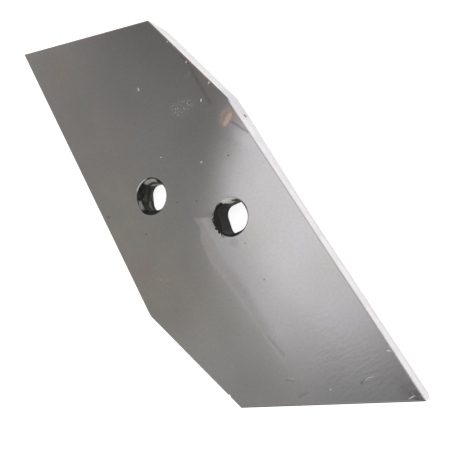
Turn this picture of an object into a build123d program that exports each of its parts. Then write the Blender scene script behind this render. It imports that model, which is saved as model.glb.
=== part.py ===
from build123d import *
import math
import os

# Ploughshare point: one flat steel plate with six sides, held by two plough bolts.
# Millimetres. The back of the plate lies on XY and its working face looks up, along +Z.
# The origin is midway between the two bolt holes, on the back, and X runs through both holes.

# Plate
plate_thickness = 15.0

# Corners of the working face, X then Y. Each end has a pointed tip and a heel, and a blunt
# shoulder lies between the ends on either side.
upper_tip_x = -162.0
upper_tip_y = 75.0
upper_heel_x = -59.8
upper_heel_y = 108.7
right_shoulder_x = 10.5
right_shoulder_y = 69.0
lower_tip_x = 167.3
lower_tip_y = -67.8
lower_heel_x = 63.7
lower_heel_y = -107.4
left_shoulder_x = -12.3
left_shoulder_y = -73.2

# The side from the upper heel to the right shoulder leans, so that it is this much further out at the back
sheared_lean = 0.5

# Rounding of the corners, seen from above
tip_radius = 0.4
heel_radius = 0.8
shoulder_radius = 12.0

# Relief under each end, which leaves a cutting edge of this thickness below the face
upper_edge_thickness = 5.0
upper_relief_run = 5.4
lower_edge_thickness = 7.0
lower_relief_run = 7.0

# Relief under each long side, which grows from nothing over this stretch beyond the shoulder
side_edge_thickness = 10.6
side_relief_run = 10.0
side_relief_start = 16.0
side_relief_growth = 60.0

# Bolt holes: a round countersink over a square neck with well rounded corners, each neck with
# its own width and its own turn from X. The margin is between the corners of the wider neck
# and the rim of the countersink.
bolt_spacing = 60.0
sink_angle = 60.0
sink_margin = 0.8
left_neck_width = 17.4
left_neck_turn = 20.0
right_neck_width = 19.0
right_neck_turn = 34.0
neck_corner_radius = 6.0

# Worn edges, round the working face and round the rim of each hole
face_edge_radius = 0.25
rim_edge_radius = 0.4

# Nick knocked into the edge of the face, this far along the side from the lower heel
nick_distance = 10.2
nick_radius = 1.0

# Both countersinks have the size that the wider neck needs
wider_neck_width = max(left_neck_width, right_neck_width)
square_diagonal = math.sqrt(2)
across_corners = wider_neck_width * square_diagonal - 2 * neck_corner_radius * (square_diagonal - 1)
sink_diameter = across_corners + 2 * sink_margin

# Corners, clockwise from the upper tip
upper_tip = Vector(upper_tip_x, upper_tip_y)
upper_heel = Vector(upper_heel_x, upper_heel_y)
right_shoulder = Vector(right_shoulder_x, right_shoulder_y)
lower_tip = Vector(lower_tip_x, lower_tip_y)
lower_heel = Vector(lower_heel_x, lower_heel_y)
left_shoulder = Vector(left_shoulder_x, left_shoulder_y)


def side_plane(start, finish, distance):
    """Cross-section plane of one side, at a distance from its start.

    Its x axis points into the plate and its y axis up, and it looks back along the side.
    """
    along = (finish - start).normalized()
    inward = Vector(along.Y, -along.X)
    return Plane(origin=start + along * distance, x_dir=inward, z_dir=-along)


def leaned(corner, neighbour, outward):
    """Moves a corner away from its neighbour, in line with their side, until it is the lean further out."""
    away = (corner - neighbour).normalized()
    return corner + away * (sheared_lean / away.dot(outward))


def relief_section(plane, edge_thickness, run):
    """Draws the wedge under a side: a slope from the foot of its edge down to the back of the plate.

    The wedge reaches past the steel by the thickness of the plate.
    """
    height = plate_thickness - edge_thickness
    slope = height / run
    with BuildSketch(plane) as section:
        with BuildLine():
            Polyline(
                (-plate_thickness, height + plate_thickness * slope),
                (-plate_thickness, -plate_thickness),
                (run + plate_thickness / slope, -plate_thickness),
                close=True,
            )
        make_face()
    return section.sketch


with BuildPart() as point:
    # Plate between the outlines of its back and of its face, which differ by the lean of one side
    outward = -side_plane(upper_heel, right_shoulder, 0).x_dir
    back_heel = leaned(upper_heel, upper_tip, outward)
    back_shoulder = leaned(right_shoulder, lower_tip, outward)
    for height, heel, shoulder in (
        (0, back_heel, back_shoulder),
        (plate_thickness, upper_heel, right_shoulder),
    ):
        with BuildSketch(Plane.XY.offset(height)):
            with BuildLine():
                Polyline(upper_tip, heel, shoulder, lower_tip, lower_heel, left_shoulder, close=True)
            make_face()
    loft(ruled=True)

    # Its six corners rounded
    for corner, radius in (
        (upper_tip, tip_radius),
        (lower_tip, tip_radius),
        (upper_heel, heel_radius),
        (lower_heel, heel_radius),
        (right_shoulder, shoulder_radius),
        (left_shoulder, shoulder_radius),
    ):
        middle = corner + Vector(0, 0, plate_thickness / 2)
        fillet(edges().sort_by_distance(middle)[0], radius)

    # Relief under both ends, along the whole of each end
    for tip, heel, edge_thickness, run in (
        (upper_tip, upper_heel, upper_edge_thickness, upper_relief_run),
        (lower_tip, lower_heel, lower_edge_thickness, lower_relief_run),
    ):
        length = (heel - tip).length
        section = relief_section(side_plane(tip, heel, length / 2), edge_thickness, run)
        extrude(section, amount=length, both=True, mode=Mode.SUBTRACT)

    # Relief under both long sides: a slope that narrows to a point, and the full slope beyond it
    for shoulder, tip in ((right_shoulder, lower_tip), (left_shoulder, upper_tip)):
        full_at = side_relief_start + side_relief_growth
        full_plane = side_plane(shoulder, tip, full_at)
        section = relief_section(full_plane, side_edge_thickness, side_relief_run)
        beyond_tip = (tip - shoulder).length + plate_thickness
        extrude(section, amount=full_at - beyond_tip, mode=Mode.SUBTRACT)
        start_point = Vertex(*side_plane(shoulder, tip, side_relief_start).origin)
        loft([section.face(), start_point], mode=Mode.SUBTRACT)

    # Worn edge round the face, before the holes are made in it
    fillet(faces().sort_by(Axis.Z)[-1].outer_wire().edges(), face_edge_radius)

    # Countersunk holes, each with its square neck
    for hole_x, neck_width, neck_turn in (
        (-bolt_spacing / 2, left_neck_width, left_neck_turn),
        (bolt_spacing / 2, right_neck_width, right_neck_turn),
    ):
        with Locations((hole_x, 0, plate_thickness)):
            CounterSinkHole(neck_width / 2, sink_diameter / 2, counter_sink_angle=sink_angle)
        with BuildSketch():
            with Locations((hole_x, 0)):
                RectangleRounded(neck_width, neck_width, neck_corner_radius, rotation=neck_turn)
        extrude(amount=plate_thickness, mode=Mode.SUBTRACT)
    rims = faces().sort_by(Axis.Z)[-1].inner_wires()
    fillet([edge for rim in rims for edge in rim.edges()], rim_edge_radius)

    # Nick in the left side, by the lower heel
    nick_place = side_plane(lower_heel, left_shoulder, nick_distance).origin
    with Locations(nick_place + Vector(0, 0, plate_thickness)):
        Sphere(nick_radius, mode=Mode.SUBTRACT)

point.part.label = "ploughshare_point"
os.makedirs("parts", exist_ok=True)
export_step(point.part, "parts/ploughshare_point.step")
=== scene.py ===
import math

import bpy
from mathutils import Matrix, Vector

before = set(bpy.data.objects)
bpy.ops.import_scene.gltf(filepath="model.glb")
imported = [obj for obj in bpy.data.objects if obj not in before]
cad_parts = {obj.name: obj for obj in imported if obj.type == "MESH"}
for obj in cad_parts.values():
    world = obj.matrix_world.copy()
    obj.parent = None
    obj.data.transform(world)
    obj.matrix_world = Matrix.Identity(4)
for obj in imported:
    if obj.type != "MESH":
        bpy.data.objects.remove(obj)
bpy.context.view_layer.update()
MM = 0.001

# Corners of the working face in plan, in millimetres, clockwise from the upper tip
UPPER_TIP = (-162.0, 75.0)
UPPER_HEEL = (-59.8, 108.7)
RIGHT_SHOULDER = (10.5, 69.0)
LOWER_TIP = (167.3, -67.8)
LOWER_HEEL = (63.7, -107.4)
LEFT_SHOULDER = (-12.3, -73.2)
PLATE_THICKNESS = 15.0

# Bolt holes
HOLE_X = 30.0
RIM_RADIUS = 11.75

# Directions along and across the two long sides
ALONG = (0.7536, -0.6573, 0.0)
ACROSS = (0.6573, 0.7536, 0.0)

# Middle of what a noise gives, and a factor that leaves out height
NOISE_MIDDLE = 0.5
FLAT = (1.0, 1.0, 0.0)


# ---------------------------------------------------------------- node helpers


class Graph:
    """Builds shader nodes as arithmetic. A value is a socket or a number, a vector a socket or a triple."""

    def __init__(self, tree):
        self.tree = tree
        self.tree.nodes.clear()

    def node(self, kind, **settings):
        made = self.tree.nodes.new(kind)
        for name, value in settings.items():
            setattr(made, name, value)
        return made

    def feed(self, socket, value):
        if isinstance(value, bpy.types.NodeSocket):
            self.tree.links.new(value, socket)
        else:
            socket.default_value = value

    def math(self, operation, *values, clamp=False):
        made = self.node("ShaderNodeMath", operation=operation, use_clamp=clamp)
        for socket, value in zip(made.inputs, values):
            self.feed(socket, value)
        return made.outputs[0]

    def add(self, a, b):
        return self.math("ADD", a, b)

    def sub(self, a, b):
        return self.math("SUBTRACT", a, b)

    def mul(self, a, b):
        return self.math("MULTIPLY", a, b)

    def least(self, *values):
        found = values[0]
        for value in values[1:]:
            found = self.math("MINIMUM", found, value)
        return found

    def most(self, *values):
        found = values[0]
        for value in values[1:]:
            found = self.math("MAXIMUM", found, value)
        return found

    def invert(self, value):
        return self.sub(1.0, value)

    def ramp(self, value, low, high, to_low=0.0, to_high=1.0):
        """Smooth step from to_low at low to to_high at high."""
        made = self.node("ShaderNodeMapRange", interpolation_type="SMOOTHSTEP")
        for socket, given in zip(made.inputs, (value, low, high, to_low, to_high)):
            self.feed(socket, given)
        return made.outputs[0]

    def vector(self, operation, *values):
        made = self.node("ShaderNodeVectorMath", operation=operation)
        for socket, value in zip(made.inputs, values):
            self.feed(socket, value)
        return made.outputs["Value" if operation in ("DOT_PRODUCT", "LENGTH") else "Vector"]

    def scale(self, vector, factor):
        made = self.node("ShaderNodeVectorMath", operation="SCALE")
        self.feed(made.inputs[0], vector)
        self.feed(made.inputs["Scale"], factor)
        return made.outputs[0]

    def split(self, vector):
        made = self.node("ShaderNodeSeparateXYZ")
        self.feed(made.inputs[0], vector)
        return made.outputs

    def join(self, x, y, z):
        made = self.node("ShaderNodeCombineXYZ")
        for socket, value in zip(made.inputs, (x, y, z)):
            self.feed(socket, value)
        return made.outputs[0]

    def distance(self, point, centre):
        return self.vector("LENGTH", self.vector("SUBTRACT", point, centre))

    def noise(self, vector, scale, detail=2.0, roughness=0.5, output="Fac"):
        """Noise of about 0 to 1; scale is in cycles a millimetre."""
        made = self.node("ShaderNodeTexNoise")
        self.feed(made.inputs["Vector"], vector)
        for name, value in (("Scale", scale), ("Detail", detail), ("Roughness", roughness)):
            self.feed(made.inputs[name], value)
        return made.outputs[output]

    def blend(self, factor, first, second, kind="RGBA"):
        """Mixes two colours, or two numbers where kind is FLOAT."""
        made = self.node("ShaderNodeMix", data_type=kind)
        self.feed(made.inputs["Factor"], factor)
        self.feed(made.inputs["A"], first)
        self.feed(made.inputs["B"], second)
        return made.outputs["Result"]

    def turned(self, point, centre, degrees, stretch):
        """Coordinates about a centre, with x turned to the given direction, and divided by stretch."""
        mapped = self.node("ShaderNodeMapping", vector_type="TEXTURE")
        self.feed(mapped.inputs["Vector"], point)
        mapped.inputs["Location"].default_value = (*centre, 0.0)
        mapped.inputs["Rotation"].default_value = (0.0, 0.0, math.radians(degrees))
        mapped.inputs["Scale"].default_value = (*stretch, 1.0)
        return mapped.outputs[0]

    def ellipse(self, point, centre, half_sizes, degrees=0.0, soft=0.4):
        """1 inside an ellipse in plan and 0 outside, with a soft edge."""
        size = self.vector("LENGTH", self.turned(point, centre, degrees, half_sizes))
        return self.ramp(size, 1.0 + soft, 1.0 - soft)

    def stroke(self, point, start, finish, width, soft=0.5):
        """1 on a straight line in plan and 0 beside it, with rounded ends."""
        start, finish = Vector((*start, 0.0)), Vector((*finish, 0.0))
        run = finish - start
        offset = self.vector("SUBTRACT", point, tuple(start))
        share = self.vector("DOT_PRODUCT", offset, tuple(run / run.length_squared))
        share = self.math("ADD", share, 0.0, clamp=True)
        gap = self.distance(offset, self.scale(tuple(run), share))
        return self.ramp(gap, width * (0.5 + soft), width * 0.5 * (1.0 - soft))

    def surface(self, kind, shader):
        """Ends the tree in an output node of the given kind."""
        output = self.node(kind)
        self.feed(output.inputs["Surface"], shader)


def srgb(red, green, blue):
    """A colour given as it looks on a screen, 0 to 255, as the linear colour that nodes take."""
    def linear(part):
        part /= 255.0
        return part / 12.92 if part <= 0.04045 else ((part + 0.055) / 1.055) ** 2.4
    return (linear(red), linear(green), linear(blue), 1.0)


WHITE = srgb(255, 255, 255)


def new_material(name):
    made = bpy.data.materials.new(name)
    made.use_nodes = True
    return made, Graph(made.node_tree)


# ---------------------------------------------------------------- steel: colours and marks

# Skin, by its place on the plate, and the patches in it
SKIN_UPPER_LEFT = srgb(186, 179, 175)
SKIN_INNER_LEFT = srgb(183, 180, 171)
SKIN_OUTER_LEFT = srgb(188, 181, 173)
SKIN_LOWER_LEFT = srgb(181, 180, 177)
SKIN_UPPER_RIGHT = srgb(181, 178, 175)
SKIN_LOWER_RIGHT = srgb(180, 178, 180)
SKIN_DULL = srgb(174, 172, 169)
SKIN_PINK = srgb(188, 174, 168)
SKIN_GREEN = srgb(172, 176, 166)
# Tint of the paler band below the right hole
PALE_BAND_TINT = (1.03, 0.98, 1.05)

# Rust, and steel where the skin is off
RUST_STAIN = srgb(216, 188, 172)
RUST_STREAK = srgb(170, 148, 134)
BARE_STEEL = srgb(204, 203, 199)

# Sheared sides
CUT_DULL = srgb(236, 232, 233)
CUT_BRIGHT = srgb(243, 240, 240)
CUT_BELOW = srgb(226, 226, 230)
CUT_LINE = srgb(206, 206, 212)
CUT_CREASE = srgb(218, 214, 219)
CUT_SPOT = srgb(84, 80, 80)

# Edges of the face
EDGE_UPPER_END = srgb(150, 113, 96)
EDGE_UPPER_RIGHT = srgb(102, 96, 94)
EDGE_LOWER_RIGHT = srgb(216, 213, 214)
EDGE_LOWER_RIGHT_LINE = srgb(118, 102, 100)
EDGE_LOWER_END = srgb(74, 67, 64)
EDGE_LEFT = srgb(116, 108, 105)

# Holes: dark walls and their scale, then painted glints, painted highlights, painted shade and a painted rim
# highlight
HOLE_DARK = srgb(28, 27, 25)
HOLE_SCALE = srgb(52, 51, 49)
HOLE_PAINTED_GLINT = srgb(110, 109, 107)
LEFT_HOLE_PAINTED_HIGHLIGHT = srgb(190, 189, 185)
LEFT_HOLE_PAINTED_GLINT = srgb(132, 131, 128)
LEFT_HOLE_FOOT_HIGHLIGHT = srgb(214, 213, 209)
RIGHT_HOLE_PAINTED_SHADE = srgb(14, 13, 12)
RIGHT_HOLE_PAINTED_HIGHLIGHT = srgb(236, 235, 231)
HOLE_RIM_HIGHLIGHT = srgb(190, 189, 186)
RIM_CHIP = srgb(38, 37, 35)

# Chips in the skin, down to light bare steel: x, y, half length, half width, turn
BARE_CHIPS = (
    (-56.3, 64.5, 1.2, 0.5, 125.0),
    (-24.0, 86.3, 0.8, 0.45, 110.0),
    (-41.2, 96.8, 0.5, 0.3, 0.0),
    (-7.3, 64.6, 0.9, 0.45, 95.0),
    (-28.1, 25.4, 0.6, 0.4, 20.0),
    (2.0, 27.7, 0.6, 0.4, 60.0),
    (141.7, -48.2, 1.1, 0.45, 5.0),
    (-4.4, 75.8, 0.7, 0.5, 70.0),
    (159.5, -68.1, 1.7, 0.35, 42.0),
    (115.1, -78.8, 0.5, 0.35, 0.0),
)

# Curved scratch down to bare steel, near the lower tip: start, finish, width, strength
BARE_SCRATCH = (
    ((132.6, -68.6), (133.9, -66.2), 0.5, 0.55),
    ((133.9, -66.2), (136.6, -64.2), 0.4, 0.45),
)

# Sprays of fine bare specks: centre, half sizes, turn
BARE_SPRAYS = (
    ((-20.5, 58.5), (9.5, 5.0), 28.0),
    ((-8.3, -47.8), (4.0, 2.5), 0.0),
    ((160.5, -65.6), (4.5, 2.2), -35.0),
)
SPRAY_STRENGTH = 0.45

# Dark specks: x, y, half size
DARK_SPECKS = (
    (19.8, 35.2, 0.9),
    (60.8, -30.5, 0.7),
    (43.5, -13.1, 0.7),
    (-60.2, -20.2, 0.8),
    (-27.7, -24.1, 0.8),
    (-9.4, 0.4, 0.7),
    (4.1, 4.1, 0.6),
)
SPECK_LIGHT = 0.55

# Scratches and streaks, dark ones first: start, finish, width, light against the skin round them
STROKES = (
    ((17.4, 55.1), (29.3, 51.0), 0.9, 0.66),
    ((-28.6, 90.0), (-22.6, 85.8), 1.1, 0.82),
    ((-19.3, 82.2), (-13.5, 76.7), 1.5, 0.84),
    ((-13.5, 76.7), (-0.8, 64.3), 1.7, 0.85),
    ((37.4, -31.0), (50.3, -40.8), 3.2, 0.955),
    ((50.3, -40.8), (68.0, -57.4), 3.0, 0.955),
    ((71.3, -62.0), (82.9, -68.8), 1.3, 0.88),
    ((88.1, -82.3), (92.8, -81.6), 0.9, 0.85),
    ((97.9, -88.6), (101.9, -85.3), 1.2, 0.85),
    ((131.4, -69.6), (132.8, -68.2), 1.4, 0.72),
    ((20.5, -25.6), (34.0, -36.4), 2.2, 1.05),
    ((34.0, -36.4), (52.4, -49.4), 1.8, 1.06),
    ((52.4, -49.4), (69.3, -62.6), 0.8, 1.06),
    ((69.3, -62.6), (86.0, -74.0), 0.8, 1.08),
    ((88.4, -80.9), (92.6, -80.2), 0.7, 1.12),
    ((146.1, -74.2), (152.0, -63.4), 1.1, 1.06),
    ((152.0, -63.4), (157.4, -55.9), 1.0, 1.05),
)

# Soft blots: centre, half sizes, turn, softness, light against the skin round them
BLOTS = (
    ((36.1, -14.3), (3.0, 2.6), 0.0, 0.5, 0.88),
    ((-19.9, 79.6), (2.8, 1.3), 60.0, 0.7, 1.12),
    ((25.0, 49.0), (9.0, 4.0), 150.0, 0.8, 1.14),
)
# Light of the darker patch to the left of the right hole, against the skin round it
BY_HOLE_DARKENING = 0.83

# Dark, worn corner by the lower tip, and the fainter wear round it: centre, half sizes, turn, softness
WORN_CORNER = ((162.2, -66.8), (5.0, 2.6), 0.0, 0.6)
WORN_ROUND_CORNER = ((158.5, -66.0), (8.5, 4.0), -20.0, 0.6)
CORNER_LIGHT = 0.58

# Soft brown stains near the right shoulder: centre, half sizes, turn, softness
MAIN_STAIN = ((12.4, 58.0), (5.6, 3.7), 75.0, 0.8)
STAIN_BESIDE = ((18.0, 60.6), (4.8, 2.0), 137.0, 0.8)
STAIN_ABOVE = ((-9.5, 77.8), (6.5, 2.4), -29.0, 0.7)

# Streak of rust in the main stain, as start, finish, width and softness, and the faint ring round it, as
# centre, turn and half sizes
RUST_LINE = ((15.0, 59.2), (12.5, 53.2), 1.5, 0.9)
RUST_RING = ((12.0, 57.6), 75.0, (4.6, 2.9))

# Crease and dark spot on the cut side by the right shoulder
CREASE_PLACE = (13.0, 68.0, 0.0)
SPOT_PLACE = (20.3, 60.6, 6.0)

# Top edge of the paler band below the right hole: its place along where across is 0, and its slope
PALE_BAND_TOP = 9.2
PALE_BAND_TOP_SLOPE = 0.67
PALE_BAND_EDGE_SOFTNESS = 0.9

# Left edge of the paler band: places along and across the long sides
PALE_BAND_EDGE = (
    (0.0, -1.6),
    (10.0, -2.0),
    (15.0, -1.6),
    (21.0, -5.1),
    (32.0, -7.0),
    (41.0, -7.8),
    (45.0, -6.2),
    (49.0, -4.9),
    (60.0, -4.3),
    (74.0, -2.7),
    (89.0, -1.0),
    (100.0, -1.6),
)
PALE_BAND_EDGE_LENGTH = 100.0
PALE_BAND_EDGE_REACH = 10.0

# How far the ragged edges of the marks wander, and how far the noises of the holes and of the chipped rim
# move their edges, in millimetres
WOBBLE_REACH = 1.6
HOLE_RAGGEDNESS = 5.0
CHIP_RAGGEDNESS = 7.5

# Strength of the chips, stains and edge lines over what lies under them
CHIP_STRENGTH = 0.75
STAIN_STRENGTH = 0.9
EDGE_STRENGTH = 0.9

# Gloss of the skin, and roughness of the skin and of what is matt
SKIN_SPECULAR = 0.2
SKIN_ROUGHNESS = 0.10
MATT_ROUGHNESS = 0.6

# Hammer ripples near the lower tip: the centre, turn and size of one, and the area that they fill, as
# centre, half sizes, turn and softness
RIPPLE_SHAPE = ((128.0, -62.0), 46.6, (7.0, 2.1))
RIPPLE_AREA = ((120.0, -60.0), (34.0, 17.0), -24.0, 0.5)

# Heights of the relief in the surface, in millimetres
RIPPLE_HEIGHT = 0.017
WAVE_HEIGHT = 0.05
SKIN_GRAIN_HEIGHT = 0.001
MATT_GRAIN_HEIGHT = 0.05
CHIP_DEPTH = 0.06


# ---------------------------------------------------------------- steel: looks


class Places:
    """Coordinates and masks that the looks of the steel share. Lengths are in millimetres."""

    def __init__(self, g):
        coords = g.node("ShaderNodeTexCoord")
        self.position = g.scale(coords.outputs["Object"], 1.0 / MM)
        x, y, z = g.split(self.position)
        self.depth = g.sub(PLATE_THICKNESS, z)
        self.plan = g.join(x, y, 0.0)
        normal_z = g.split(coords.outputs["Normal"])[2]

        # Plan coordinates with a ragged wobble, so that no mark has a drawn edge
        wobble = g.noise(self.plan, 0.55, detail=3.0, output="Color")
        wobble = g.vector("SUBTRACT", wobble, (NOISE_MIDDLE, NOISE_MIDDLE, NOISE_MIDDLE))
        wobble = g.scale(wobble, WOBBLE_REACH)
        self.ragged = g.vector("MULTIPLY", g.vector("ADD", self.plan, wobble), FLAT)

        # Along and across the long sides
        self.along = g.vector("DOT_PRODUCT", self.ragged, ALONG)
        self.across = g.vector("DOT_PRODUCT", self.ragged, ACROSS)

        # Skin is left on both flat faces; everything between them is cut
        self.front = g.ramp(normal_z, 0.8, 0.97)
        self.back = g.ramp(normal_z, -0.9, -0.98)

        # Distance from each side in plan
        self.upper_end = self.side_gap(g, UPPER_TIP, UPPER_HEEL)
        self.lower_end = self.side_gap(g, LOWER_TIP, LOWER_HEEL)
        self.upper_right = self.side_gap(g, UPPER_HEEL, RIGHT_SHOULDER)
        self.lower_right = self.side_gap(g, RIGHT_SHOULDER, LOWER_TIP)
        self.left = g.least(
            self.side_gap(g, LOWER_HEEL, LEFT_SHOULDER), self.side_gap(g, LEFT_SHOULDER, UPPER_TIP)
        )

        # About the nearer hole: the distance from its axis and the direction from it
        centre_x = g.mul(g.math("SIGN", x), HOLE_X)
        local = g.vector("SUBTRACT", self.plan, g.join(centre_x, 0.0, 0.0))
        self.radius = g.vector("LENGTH", local)
        self.outward = g.vector("NORMALIZE", local)
        self.right_hole = g.math("GREATER_THAN", x, 0.0)
        self.left_hole = g.invert(self.right_hole)
        self.in_hole = g.ramp(self.radius, RIM_RADIUS + 0.5, RIM_RADIUS + 0.1)

    def side_gap(self, g, start, finish):
        """Distance from one side of the plate in plan, positive inside."""
        run = (Vector(finish) - Vector(start)).normalized()
        inward = Vector((run.y, -run.x, 0.0))
        side_place = inward.dot(Vector((*start, 0.0)))
        return g.sub(g.vector("DOT_PRODUCT", self.plan, tuple(inward)), side_place)

    def facing(self, g, degrees, faint, full, strength=1.0):
        """0 to strength towards one side of the hole.

        faint and full are the cosines of the angle from the given direction at which it starts and is whole.
        """
        angle = math.radians(degrees)
        cosine = g.vector("DOT_PRODUCT", self.outward, (math.cos(angle), math.sin(angle), 0.0))
        return g.ramp(cosine, faint, full, 0.0, strength)


def skin_colour(g, at):
    """Dark rolled skin: its hue drifts over the plate, with soft dull, pink and greenish patches in it."""
    left = g.blend(g.ramp(at.across, -16.0, -42.0), SKIN_INNER_LEFT, SKIN_OUTER_LEFT)
    left = g.blend(g.ramp(at.along, -90.0, -20.0), SKIN_UPPER_LEFT, left)
    left = g.blend(g.ramp(at.along, 40.0, 95.0), left, SKIN_LOWER_LEFT)
    colour = g.blend(g.ramp(at.across, 8.0, -42.0), SKIN_UPPER_RIGHT, left)
    lower_right = g.mul(g.ramp(at.across, -8.0, 6.0), g.ramp(g.add(at.along, at.across), 8.0, 34.0))
    colour = g.blend(lower_right, colour, SKIN_LOWER_RIGHT)

    patch = g.noise(at.plan, 0.03, detail=3.0, roughness=0.55)
    colour = g.blend(g.ramp(patch, 0.35, 0.65, 0.0, 0.5), colour, SKIN_DULL)

    # Pink and greenish patches, most of them on the left, from a noise that doesn't follow the first
    elsewhere = g.vector("ADD", at.plan, (400.0, 90.0, 0.0))
    hue = g.noise(elsewhere, 0.034, roughness=0.4)
    tinted = g.mul(g.ramp(at.across, -8.0, -42.0, 0.15, 1.0), g.ramp(at.along, 100.0, 20.0, 0.2, 1.0))
    pink = g.mul(tinted, g.ramp(hue, NOISE_MIDDLE, 0.75, 0.0, 0.55))
    colour = g.blend(pink, colour, SKIN_PINK)
    green = g.mul(tinted, g.ramp(hue, NOISE_MIDDLE, 0.25, 0.0, 0.5))
    colour = g.blend(green, colour, SKIN_GREEN)

    grain = g.noise(at.plan, 0.55, detail=3.0, roughness=0.7)
    return g.scale(colour, g.ramp(grain, 0.3, 0.7, 0.97, 1.03))


def pale_band_left_edge(g, at):
    """How far across the paler band's left edge lies, at each place along it."""
    edge = g.node("ShaderNodeFloatCurve")
    width = 2.0 * PALE_BAND_EDGE_REACH
    points = [
        (along / PALE_BAND_EDGE_LENGTH, (across + PALE_BAND_EDGE_REACH) / width) for along, across in PALE_BAND_EDGE
    ]
    curve = edge.mapping.curves[0]
    curve.points[0].location = points[0]
    curve.points[1].location = points[-1]
    for share, height in points[1:-1]:
        curve.points.new(share, height)
    edge.mapping.update()
    g.feed(edge.inputs["Value"], g.mul(at.along, 1.0 / PALE_BAND_EDGE_LENGTH))
    return g.sub(g.mul(edge.outputs[0], width), PALE_BAND_EDGE_REACH)


def pale_band_amount(g, at):
    """A paler band below the right hole, with a sharp left edge that runs down towards the lower end."""
    beyond = g.sub(at.across, pale_band_left_edge(g, at))
    top_edge = g.add(PALE_BAND_TOP, g.mul(at.across, PALE_BAND_TOP_SLOPE))
    below_top = g.sub(at.along, top_edge)
    soft = PALE_BAND_EDGE_SOFTNESS
    pale_band = g.mul(g.ramp(beyond, -soft, soft), g.ramp(below_top, -soft, soft))

    # It is thinner as far as a second edge, which widens towards the lower end
    second_edge = g.ramp(at.along, 40.0, 60.0, 3.2, 8.0)
    thinned = g.ramp(at.along, 35.0, 55.0, 0.6, 0.3)
    pale_band = g.mul(pale_band, g.ramp(at.across, 0.6, second_edge, thinned, 1.0))

    # It fades away to the right and towards the lower end
    pale_band = g.mul(pale_band, g.ramp(beyond, 22.0, 3.0))
    return g.mul(pale_band, g.ramp(at.along, 118.0, 96.0))


def mark_skin(g, at, colour):
    """The paler band, streaks, scratches and specks, as darker and lighter skin."""
    pale_band = pale_band_amount(g, at)
    strength = g.ramp(at.along, 18.0, 42.0, 0.38, 0.12)
    colour = g.scale(colour, g.add(1.0, g.mul(pale_band, strength)))
    colour = g.blend(g.mul(pale_band, 0.25), colour, g.vector("MULTIPLY", colour, PALE_BAND_TINT))

    # Each mark is a mask and the light on it against the skin round it
    marks = []
    for start, finish, width, light in STROKES:
        marks.append((g.stroke(at.ragged, start, finish, width, soft=0.8), light))
    for x, y, half_size in DARK_SPECKS:
        marks.append((g.ellipse(at.ragged, (x, y), (half_size, half_size * 0.7)), SPECK_LIGHT))
    for centre, half_sizes, turn, soft, light in BLOTS:
        marks.append((g.ellipse(at.ragged, centre, half_sizes, turn, soft), light))

    # Corner by the lower tip, with its wear broken up by a noise
    round_corner = g.mul(g.ellipse(at.ragged, *WORN_ROUND_CORNER), 0.4)
    corner = g.most(g.ellipse(at.ragged, *WORN_CORNER), round_corner)
    broken = g.ramp(g.noise(at.plan, 0.9), 0.35, 0.6, 0.1, 1.0)
    marks.append((g.mul(corner, broken), CORNER_LIGHT))

    # Darker patch on the skin to the left of the right hole
    darker_by_hole = g.mul(at.facing(g, 200.0, 0.88, 0.97), g.ramp(at.radius, 18.5, 13.0))
    marks.append((g.mul(darker_by_hole, at.right_hole), BY_HOLE_DARKENING))

    kept = 1.0
    for mask, light in marks:
        kept = g.mul(kept, g.add(1.0, g.mul(mask, light - 1.0)))
    return g.scale(colour, kept)


def bare_amount(g, at):
    """Where the skin is chipped off down to light bare steel."""
    bare = 0.0
    for x, y, half_length, half_width, turn in BARE_CHIPS:
        bare = g.most(bare, g.ellipse(at.ragged, (x, y), (half_length, half_width), turn))
    for start, finish, width, strength in BARE_SCRATCH:
        bare = g.most(bare, g.mul(g.stroke(at.ragged, start, finish, width), strength))
    fine = g.ramp(g.noise(at.plan, 0.8, detail=3.0, roughness=0.75), 0.58, 0.68)
    sprayed = g.most(*(g.ellipse(at.plan, *spray, soft=0.35) for spray in BARE_SPRAYS))
    return g.most(bare, g.mul(g.mul(fine, sprayed), SPRAY_STRENGTH))


def rust_amount(g, at):
    """Soft brown stains near the right shoulder, and the streak of rust in the main one."""
    beside = g.mul(g.ellipse(at.plan, *STAIN_BESIDE), 0.5)
    above = g.mul(g.ellipse(at.ragged, *STAIN_ABOVE), 0.3)
    stain = g.most(g.ellipse(at.plan, *MAIN_STAIN), beside, above)
    spread = g.noise(at.plan, 0.35, detail=3.0, roughness=0.6)
    stain = g.mul(stain, g.ramp(spread, 0.3, 0.6, 0.55, 0.9))

    # The streak, and a faint ring round it
    ring_gap = g.vector("LENGTH", g.turned(at.plan, *RUST_RING))
    ring = g.mul(g.ramp(ring_gap, 0.6, 0.95), g.ramp(ring_gap, 1.4, 1.0))
    streak = g.most(g.stroke(at.ragged, *RUST_LINE), g.mul(ring, 0.14))
    return stain, g.mul(streak, g.ramp(spread, 0.35, 0.6, 0.5, 0.9))


def cut_colour(g, at):
    """Sheared sides: near white and faintly pink, greyer below a line and at the right shoulder."""
    tone = g.noise(at.position, 0.09, detail=3.0, roughness=0.6)
    colour = g.blend(g.ramp(tone, 0.35, 0.65), CUT_DULL, CUT_BRIGHT)
    below = g.ramp(at.depth, 6.7, 7.3)
    colour = g.blend(g.mul(below, 0.6), colour, CUT_BELOW)
    line = g.mul(g.ramp(at.depth, 6.4, 6.9), g.ramp(at.depth, 7.4, 6.9))
    colour = g.blend(g.mul(line, 0.25), colour, CUT_LINE)
    crease = g.ramp(g.distance(at.plan, CREASE_PLACE), 16.0, 9.0)
    colour = g.blend(g.mul(crease, 0.7), colour, CUT_CREASE)

    # Fine shear lines down the side, and a dark spot near the right shoulder
    shear = g.noise(g.vector("MULTIPLY", at.position, (1.1, 1.1, 0.12)), 1.0)
    colour = g.scale(colour, g.ramp(shear, 0.3, 0.7, 0.95, 1.02))
    spot = g.ramp(g.distance(at.position, SPOT_PLACE), 1.7, 0.8)
    return g.blend(spot, colour, CUT_SPOT)


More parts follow.
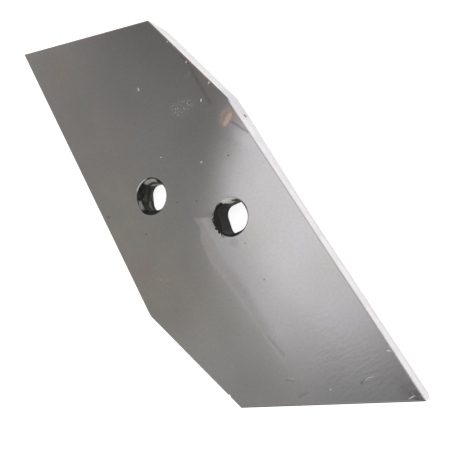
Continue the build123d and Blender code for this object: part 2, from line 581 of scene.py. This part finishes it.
def edge_looks(g, at, colour):
    """Thin lines along the edges of the face: light on the lower right side, dark and brownish elsewhere."""
    speck = g.noise(at.plan, 0.9)
    lower = g.ramp(at.lower_right, 0.6, 0.3)
    colour = g.blend(g.mul(lower, 0.8), colour, EDGE_LOWER_RIGHT)
    broken = g.mul(g.ramp(at.along, 70.0, 130.0), g.ramp(speck, 0.3, 0.6, 0.2, 0.6))
    colour = g.blend(g.mul(lower, broken), colour, EDGE_LOWER_RIGHT_LINE)

    # Light nicks break the line on the upper right side
    nicked = g.ramp(speck, 0.70, 0.58, 0.3, 1.0)
    for gap, strength, tone in (
        (at.upper_right, nicked, EDGE_UPPER_RIGHT),
        (at.upper_end, EDGE_STRENGTH, EDGE_UPPER_END),
        (at.left, EDGE_STRENGTH, EDGE_LEFT),
        (at.lower_end, EDGE_STRENGTH, EDGE_LOWER_END),
    ):
        colour = g.blend(g.mul(g.ramp(gap, 0.9, 0.45), strength), colour, tone)
    return colour


def hole_looks(g, at):
    """Dark, scaly holes, with painted glints on their walls, a painted highlight crescent below each rim on
    its upper left, a painted highlight along the rim, and painted shade in the right hole.
    """
    # Scales that are longer round the wall than down it, with a pattern of its own in each hole
    own_pattern = g.mul(at.right_hole, 7.0)
    wall = g.join(own_pattern, 0.0, g.mul(at.depth, 0.55))
    wall = g.vector("ADD", g.scale(at.outward, 1.5), wall)
    streak = g.noise(wall, 1.0, detail=3.0, roughness=0.6)
    ragged_depth = g.add(at.depth, g.mul(g.sub(streak, NOISE_MIDDLE), HOLE_RAGGEDNESS))

    def band(low, high):
        """1 between two depths, with soft, ragged edges."""
        soft = 0.6
        below_top = g.ramp(ragged_depth, low - soft, low + soft)
        return g.mul(below_top, g.ramp(ragged_depth, high + soft, high - soft))

    colour = g.blend(g.ramp(streak, 0.4, 0.7), HOLE_DARK, HOLE_SCALE)
    # Painted glints on the walls towards the left, where the streaks are light
    painted_glint = g.mul(at.facing(g, 200.0, 0.55, 0.95), g.ramp(streak, 0.50, 0.68))
    colour = g.blend(g.mul(painted_glint, 0.35), colour, HOLE_PAINTED_GLINT)

    # Left hole: a painted grey highlight crescent below the rim, painted glints low on the left, and a
    # painted highlight at the foot of the neck
    highlight_crescent = g.mul(at.facing(g, 115.0, 0.86, 0.95), band(1.3, 4.1))
    highlight_crescent = g.mul(highlight_crescent, g.ramp(streak, 0.36, 0.56, 0.45, 1.0))
    colour = g.blend(g.mul(at.left_hole, highlight_crescent), colour, LEFT_HOLE_PAINTED_HIGHLIGHT)
    painted_glints = g.mul(at.facing(g, 225.0, 0.93, 0.985), g.most(band(0.8, 2.8), band(9.5, 12.0)))
    painted_glints = g.most(painted_glints, g.mul(at.facing(g, 186.0, 0.9, 0.97), band(12.8, 16.0)))
    colour = g.blend(g.mul(at.left_hole, painted_glints), colour, LEFT_HOLE_PAINTED_GLINT)
    foot_highlight = g.mul(at.facing(g, 128.0, 0.955, 0.985), g.ramp(ragged_depth, 6.6, 8.6))
    colour = g.blend(g.mul(at.left_hole, foot_highlight), colour, LEFT_HOLE_FOOT_HIGHLIGHT)

    # Right hole: a painted shade low on the upper left, and over it a painted highlight, a bright crescent at
    # the rim, which runs out thinly to the right and reaches down to the opening in one place
    painted_shade = g.mul(at.facing(g, 146.0, 0.92, 0.97), g.ramp(ragged_depth, 2.2, 3.4))
    colour = g.blend(g.mul(at.right_hole, painted_shade), colour, RIGHT_HOLE_PAINTED_SHADE)
    highlight_crescent = g.mul(at.facing(g, 118.0, 0.88, 0.95), g.ramp(ragged_depth, 3.2, 1.6))
    highlight_thin_end = g.mul(at.facing(g, 102.0, 0.955, 0.985), g.ramp(ragged_depth, 1.9, 1.1))
    highlight_tongue = g.mul(at.facing(g, 123.0, 0.965, 0.988), g.ramp(at.depth, 9.5, 7.5))
    highlight_crescent = g.most(highlight_crescent, highlight_tongue, highlight_thin_end)
    colour = g.blend(g.mul(at.right_hole, highlight_crescent), colour, RIGHT_HOLE_PAINTED_HIGHLIGHT)

    # The rim itself has a painted highlight, a thin light line on the upper left
    rim = g.mul(g.ramp(at.depth, 0.75, 0.35), g.ramp(at.radius, RIM_RADIUS - 0.6, RIM_RADIUS - 0.25))
    left_rim_highlight = g.most(at.facing(g, 150.0, 0.82, 0.96), at.facing(g, 195.0, 0.5, 0.8, strength=0.4))
    left_rim_highlight = g.mul(at.left_hole, left_rim_highlight)
    right_rim_highlight = g.mul(at.right_hole, at.facing(g, 108.0, 0.6, 0.9))
    return g.blend(g.mul(rim, g.most(left_rim_highlight, right_rim_highlight)), colour, HOLE_RIM_HIGHLIGHT)


def rim_chips(g, at):
    """Chips in the lower left of the right hole's rim."""
    chipped = g.mul(at.right_hole, at.facing(g, 220.0, 0.60, 0.85))
    bite = g.mul(g.sub(g.noise(at.plan, 0.8), NOISE_MIDDLE), CHIP_RAGGEDNESS)
    ragged_radius = g.sub(at.radius, bite)
    return g.mul(chipped, g.ramp(ragged_radius, RIM_RADIUS + 1.0, RIM_RADIUS + 0.5))


def relief_height(g, at, matt, bare):
    """Hammer ripples near the lower tip, faint waves and grain, and the depth of the chips."""
    ripple = g.noise(g.turned(at.plan, *RIPPLE_SHAPE), 1.0, roughness=0.45)
    ripple = g.mul(ripple, g.ellipse(at.plan, *RIPPLE_AREA))
    wave = g.noise(at.plan, 0.022, detail=1.0)
    grain = g.noise(at.position, 1.1)
    height = g.add(g.mul(ripple, RIPPLE_HEIGHT), g.mul(wave, WAVE_HEIGHT))
    grain_height = g.ramp(matt, 0.0, 1.0, SKIN_GRAIN_HEIGHT, MATT_GRAIN_HEIGHT)
    height = g.add(height, g.mul(grain, grain_height))
    return g.sub(height, g.mul(bare, CHIP_DEPTH))


def make_steel():
    """The one material of the plate: dark skin on its flat faces, and cut steel on its sides and holes."""
    steel, g = new_material("share_steel")
    at = Places(g)
    skin = skin_colour(g, at)
    flat = g.most(at.front, at.back)
    colour = g.blend(at.front, skin, mark_skin(g, at, skin))
    colour = g.blend(flat, cut_colour(g, at), colour)

    # Rust and bare chips are on the working face alone
    bare = g.mul(g.mul(bare_amount(g, at), at.front), CHIP_STRENGTH)
    stain, streak = rust_amount(g, at)
    stain = g.mul(stain, at.front)
    streak = g.mul(streak, at.front)
    colour = g.blend(g.mul(stain, STAIN_STRENGTH), colour, RUST_STAIN)
    colour = g.blend(streak, colour, RUST_STREAK)
    colour = g.blend(bare, colour, BARE_STEEL)

    # Edges of the face
    edge_gap = g.least(at.upper_end, at.upper_right, at.lower_end, at.lower_right, at.left)
    edge = g.mul(g.ramp(edge_gap, 0.8, 0.4), g.ramp(at.depth, 0.5, 0.3))
    colour = g.blend(edge, colour, edge_looks(g, at, colour))

    # Holes: dark walls with painted glints, painted highlights and painted shade
    chips = rim_chips(g, at)
    colour = g.blend(at.in_hole, colour, hole_looks(g, at))
    colour = g.blend(chips, colour, RIM_CHIP)

    # The skin is a dim mirror, and all else is matt
    matt = g.most(g.invert(flat), bare, streak, edge, at.in_hole, chips)
    shader = g.node("ShaderNodeBsdfPrincipled")
    g.feed(shader.inputs["Base Color"], colour)
    g.feed(shader.inputs["Metallic"], g.invert(matt))
    g.feed(shader.inputs["Roughness"], g.ramp(matt, 0.0, 1.0, SKIN_ROUGHNESS, MATT_ROUGHNESS))
    shader.inputs["Specular IOR Level"].default_value = SKIN_SPECULAR

    bump = g.node("ShaderNodeBump")
    bump.inputs["Distance"].default_value = MM
    g.feed(bump.inputs["Height"], relief_height(g, at, matt, bare))
    g.feed(shader.inputs["Normal"], bump.outputs[0])
    g.surface("ShaderNodeOutputMaterial", shader.outputs[0])
    return steel


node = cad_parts["ploughshare_point"]
steel = make_steel()
for place in node.material_slots:
    place.material = steel


# ---------------------------------------------------------------- floor

FLOOR_COLOUR = (0.8, 0.8, 0.8, 1.0)
FLOOR_GLOW = 0.76
FLOOR_HALF_SIDE = 3.0


def make_floor():
    """Pale floor that the camera, gloss and clear stuff see near white, with the shadow kept on it."""
    paint, g = new_material("floor_paint")
    path = g.node("ShaderNodeLightPath")
    seen = g.most(
        path.outputs["Is Camera Ray"],
        path.outputs["Is Glossy Ray"],
        path.outputs["Is Transmission Ray"],
    )
    matt = g.node("ShaderNodeBsdfDiffuse")
    matt.inputs["Color"].default_value = FLOOR_COLOUR
    glow = g.node("ShaderNodeEmission")
    glow.inputs["Color"].default_value = WHITE
    g.feed(glow.inputs["Strength"], g.mul(seen, FLOOR_GLOW))
    total = g.node("ShaderNodeAddShader")
    g.feed(total.inputs[0], matt.outputs[0])
    g.feed(total.inputs[1], glow.outputs[0])
    g.surface("ShaderNodeOutputMaterial", total.outputs[0])

    half = FLOOR_HALF_SIDE
    corners = [(-half, -half, 0.0), (half, -half, 0.0), (half, half, 0.0), (-half, half, 0.0)]
    mesh = bpy.data.meshes.new("floor")
    mesh.from_pydata(corners, [], [(0, 1, 2, 3)])
    mesh.materials.append(paint)
    floor = bpy.data.objects.new("floor", mesh)
    bpy.context.scene.collection.objects.link(floor)


make_floor()


# ---------------------------------------------------------------- light

# The camera's mirror image in the plane of the face, which says what part of the room each place shows
MIRROR_X, MIRROR_Y, MIRROR_HEIGHT = 269.6, 34.7, 412.7

# The ceiling is described by the places on the face that show it, along and across the long sides.
# Slopes of its light: along from and to, across from and to, change of light
CEILING_SLOPES = (
    (14.0, -50.0, -25.0, 45.0, -0.15),
    (60.0, -40.0, -30.0, -52.0, 0.03),
    (116.0, 162.0, 0.0, 50.0, -0.15),
)

# Soft spots on the ceiling: place along and across, reach along and across, change of light
ROOM_SPOTS = (
    (-4.0, 13.0, 30.0, 26.0, -0.055),
    (-24.0, 30.0, 24.0, 18.0, -0.05),
    (-64.0, 28.0, 30.0, 24.0, 0.045),
    (-122.0, 33.0, 30.0, 26.0, -0.02),
    (-46.0, 2.0, 26.0, 22.0, 0.025),
    (-92.0, 30.0, 22.0, 26.0, 0.025),
    (110.0, 5.0, 22.0, 18.0, 0.045),
    (112.0, 30.0, 22.0, 14.0, -0.10),
    (78.0, 50.0, 26.0, 16.0, -0.11),
    (133.0, 15.0, 14.0, 16.0, -0.05),
    (131.0, 48.0, 15.0, 18.0, 0.06),
    (112.0, -34.0, 16.0, 16.0, -0.025),
    (-146.0, -45.0, 20.0, 10.0, -0.03),
)
SPOT_CORE = 0.25

# Softbox: its light, where its slanting upper edge bends, how much of the slant is left past that, and how
# far the edge is moved towards the lower end
SOFTBOX_LIGHT = 1.10
SLANT_BEND = 34.0
SLANT_PAST_BEND = 0.6
SLANT_SHIFT = 5.6

# The room as a whole: level of its light, fineness of the map it is sampled by, and the least rise of a
# direction, below which all directions show the same place
ROOM_LIGHT = 0.8
WORLD_MAP_SIZE = 1024
LEAST_RISE = 0.02


def ceiling_light(g, along, across):
    """The dim ceiling: brighter towards the lower end and the left, darker at both ends of the right."""
    ceiling = g.add(g.ramp(along, -90.0, -20.0, 0.475, 0.505), g.ramp(along, 30.0, 90.0, 0.0, 0.06))
    ceiling = g.add(ceiling, g.ramp(along, -132.0, -158.0, 0.0, 0.05))
    for along_from, along_to, across_from, across_to, change in CEILING_SLOPES:
        slope = g.mul(g.ramp(along, along_from, along_to), g.ramp(across, across_from, across_to))
        ceiling = g.add(ceiling, g.mul(slope, change))

    left_side = g.mul(g.ramp(across, -8.0, -35.0), g.ramp(along, 44.0, 76.0))
    left_side = g.mul(left_side, g.ramp(along, 108.0, 90.0, 0.1, 1.0))
    ceiling = g.add(ceiling, g.mul(left_side, 0.09))
    low_middle = g.mul(g.ramp(across, 44.0, 26.0), g.ramp(across, -2.0, 14.0))
    low_middle = g.mul(low_middle, g.ramp(along, 112.0, 138.0))
    ceiling = g.sub(ceiling, g.mul(low_middle, g.ramp(along, 148.0, 162.0, 0.10, 0.02)))

    for place_along, place_across, reach_along, reach_across, change in ROOM_SPOTS:
        gap_along = g.math("ABSOLUTE", g.sub(along, place_along))
        gap_across = g.math("ABSOLUTE", g.sub(across, place_across))
        spot = g.mul(
            g.ramp(gap_along, reach_along, reach_along * SPOT_CORE),
            g.ramp(gap_across, reach_across, reach_across * SPOT_CORE),
        )
        ceiling = g.add(ceiling, g.mul(spot, change))
    return ceiling


def softbox_light(g, along, across):
    """The softbox, with soft edges and its upper edge aslant, less so towards the right."""
    past_bend = g.most(g.sub(across, SLANT_BEND), 0.0)
    bent = g.add(g.least(across, SLANT_BEND), g.mul(past_bend, SLANT_PAST_BEND))
    slant = g.sub(g.add(along, bent), SLANT_SHIFT)
    box = g.mul(g.ramp(across, -22.0, 40.0), g.ramp(slant, 13.0, 39.0))
    box = g.mul(box, g.ramp(along, 174.0, 62.0))
    return g.mul(box, SOFTBOX_LIGHT)


def make_world():
    """A white room with a dimmer ceiling over the plate and one large softbox in it."""
    world = bpy.data.worlds.new("studio")
    world.use_nodes = True
    bpy.context.scene.world = world
    g = Graph(world.node_tree)
    coords = g.node("ShaderNodeTexCoord")
    dx, dy, dz = g.split(coords.outputs["Generated"])
    up = g.most(dz, LEAST_RISE)

    # Place on the face in which this direction shows, then along and across the long sides
    px = g.add(g.mul(g.math("DIVIDE", dx, up), MIRROR_HEIGHT), MIRROR_X)
    py = g.add(g.mul(g.math("DIVIDE", dy, up), MIRROR_HEIGHT), MIRROR_Y)
    along = g.add(g.mul(px, ALONG[0]), g.mul(py, ALONG[1]))
    across = g.add(g.mul(px, ACROSS[0]), g.mul(py, ACROSS[1]))
    radiance = g.add(ceiling_light(g, along, across), softbox_light(g, along, across))

    # Outside the part that the face shows, the room is white
    away = g.most(
        g.ramp(px, 250.0, 420.0),
        g.ramp(px, -260.0, -520.0),
        g.ramp(py, 200.0, 420.0),
        g.ramp(py, -200.0, -420.0),
    )
    radiance = g.mul(g.blend(away, radiance, 1.0, kind="FLOAT"), ROOM_LIGHT)

    # The camera itself sees plain white
    path = g.node("ShaderNodeLightPath")
    radiance = g.most(radiance, path.outputs["Is Camera Ray"])
    shader = g.node("ShaderNodeBackground")
    shader.inputs["Color"].default_value = WHITE
    g.feed(shader.inputs["Strength"], radiance)
    g.surface("ShaderNodeOutputWorld", shader.outputs[0])
    world.cycles.sampling_method = "MANUAL"
    world.cycles.sample_map_resolution = WORLD_MAP_SIZE


make_world()

# Lamp, in metres and watts
KEY_PLACE = (0.7, 0.9, 0.7)
KEY_SIZE = 0.6
KEY_POWER = 4.0


def make_key_light():
    """Soft lamp that lights the cut sides and makes the shadow. The face doesn't mirror it."""
    data = bpy.data.lights.new("key", "AREA")
    data.shape = "DISK"
    data.size = KEY_SIZE
    data.energy = KEY_POWER
    light = bpy.data.objects.new("key", data)
    bpy.context.scene.collection.objects.link(light)
    light.location = KEY_PLACE
    light.rotation_mode = "QUATERNION"
    light.rotation_quaternion = (-Vector(KEY_PLACE)).to_track_quat("-Z", "Y")
    light.visible_camera = False
    light.visible_glossy = False


make_key_light()


# ---------------------------------------------------------------- camera

# Directions in the picture, and how far along each of them the middle of the bolt holes lies from the
# camera, on the working face, in millimetres
CAMERA_RIGHT = Vector((0.837950, 0.205425, -0.505608))
CAMERA_DOWN = Vector((0.221745, -0.974688, -0.028508))
CAMERA_AHEAD = Vector((-0.498666, -0.088228, -0.862292))
FACE_PLACE = Vector((-24.395, -14.211, 493.34))

# Lens and sensor in millimetres, nearest thing seen in metres, and the picture's side and shift in pixels
LENS = 63.24
SENSOR_WIDTH = 36.0
CLIP_START = 0.01
IMAGE_SIDE = 458
SHIFT_PIXELS = 0.35


def make_camera():
    """The camera of the photograph: above the right of the plate, and rolled, so that the tips run down."""
    from_face = -(
        CAMERA_RIGHT * FACE_PLACE.x + CAMERA_DOWN * FACE_PLACE.y + CAMERA_AHEAD * FACE_PLACE.z
    )
    place = from_face + Vector((0.0, 0.0, PLATE_THICKNESS))
    data = bpy.data.cameras.new("camera")
    data.lens = LENS
    data.sensor_width = SENSOR_WIDTH
    data.clip_start = CLIP_START
    data.shift_x = -SHIFT_PIXELS / IMAGE_SIDE
    data.shift_y = SHIFT_PIXELS / IMAGE_SIDE
    camera = bpy.data.objects.new("camera", data)
    bpy.context.scene.collection.objects.link(camera)
    turn = Matrix((CAMERA_RIGHT, -CAMERA_DOWN, -CAMERA_AHEAD)).transposed().to_4x4()
    camera.matrix_world = Matrix.Translation(place * MM) @ turn
    bpy.context.scene.camera = camera


make_camera()
bpy.context.scene.view_settings.view_transform = "Standard"
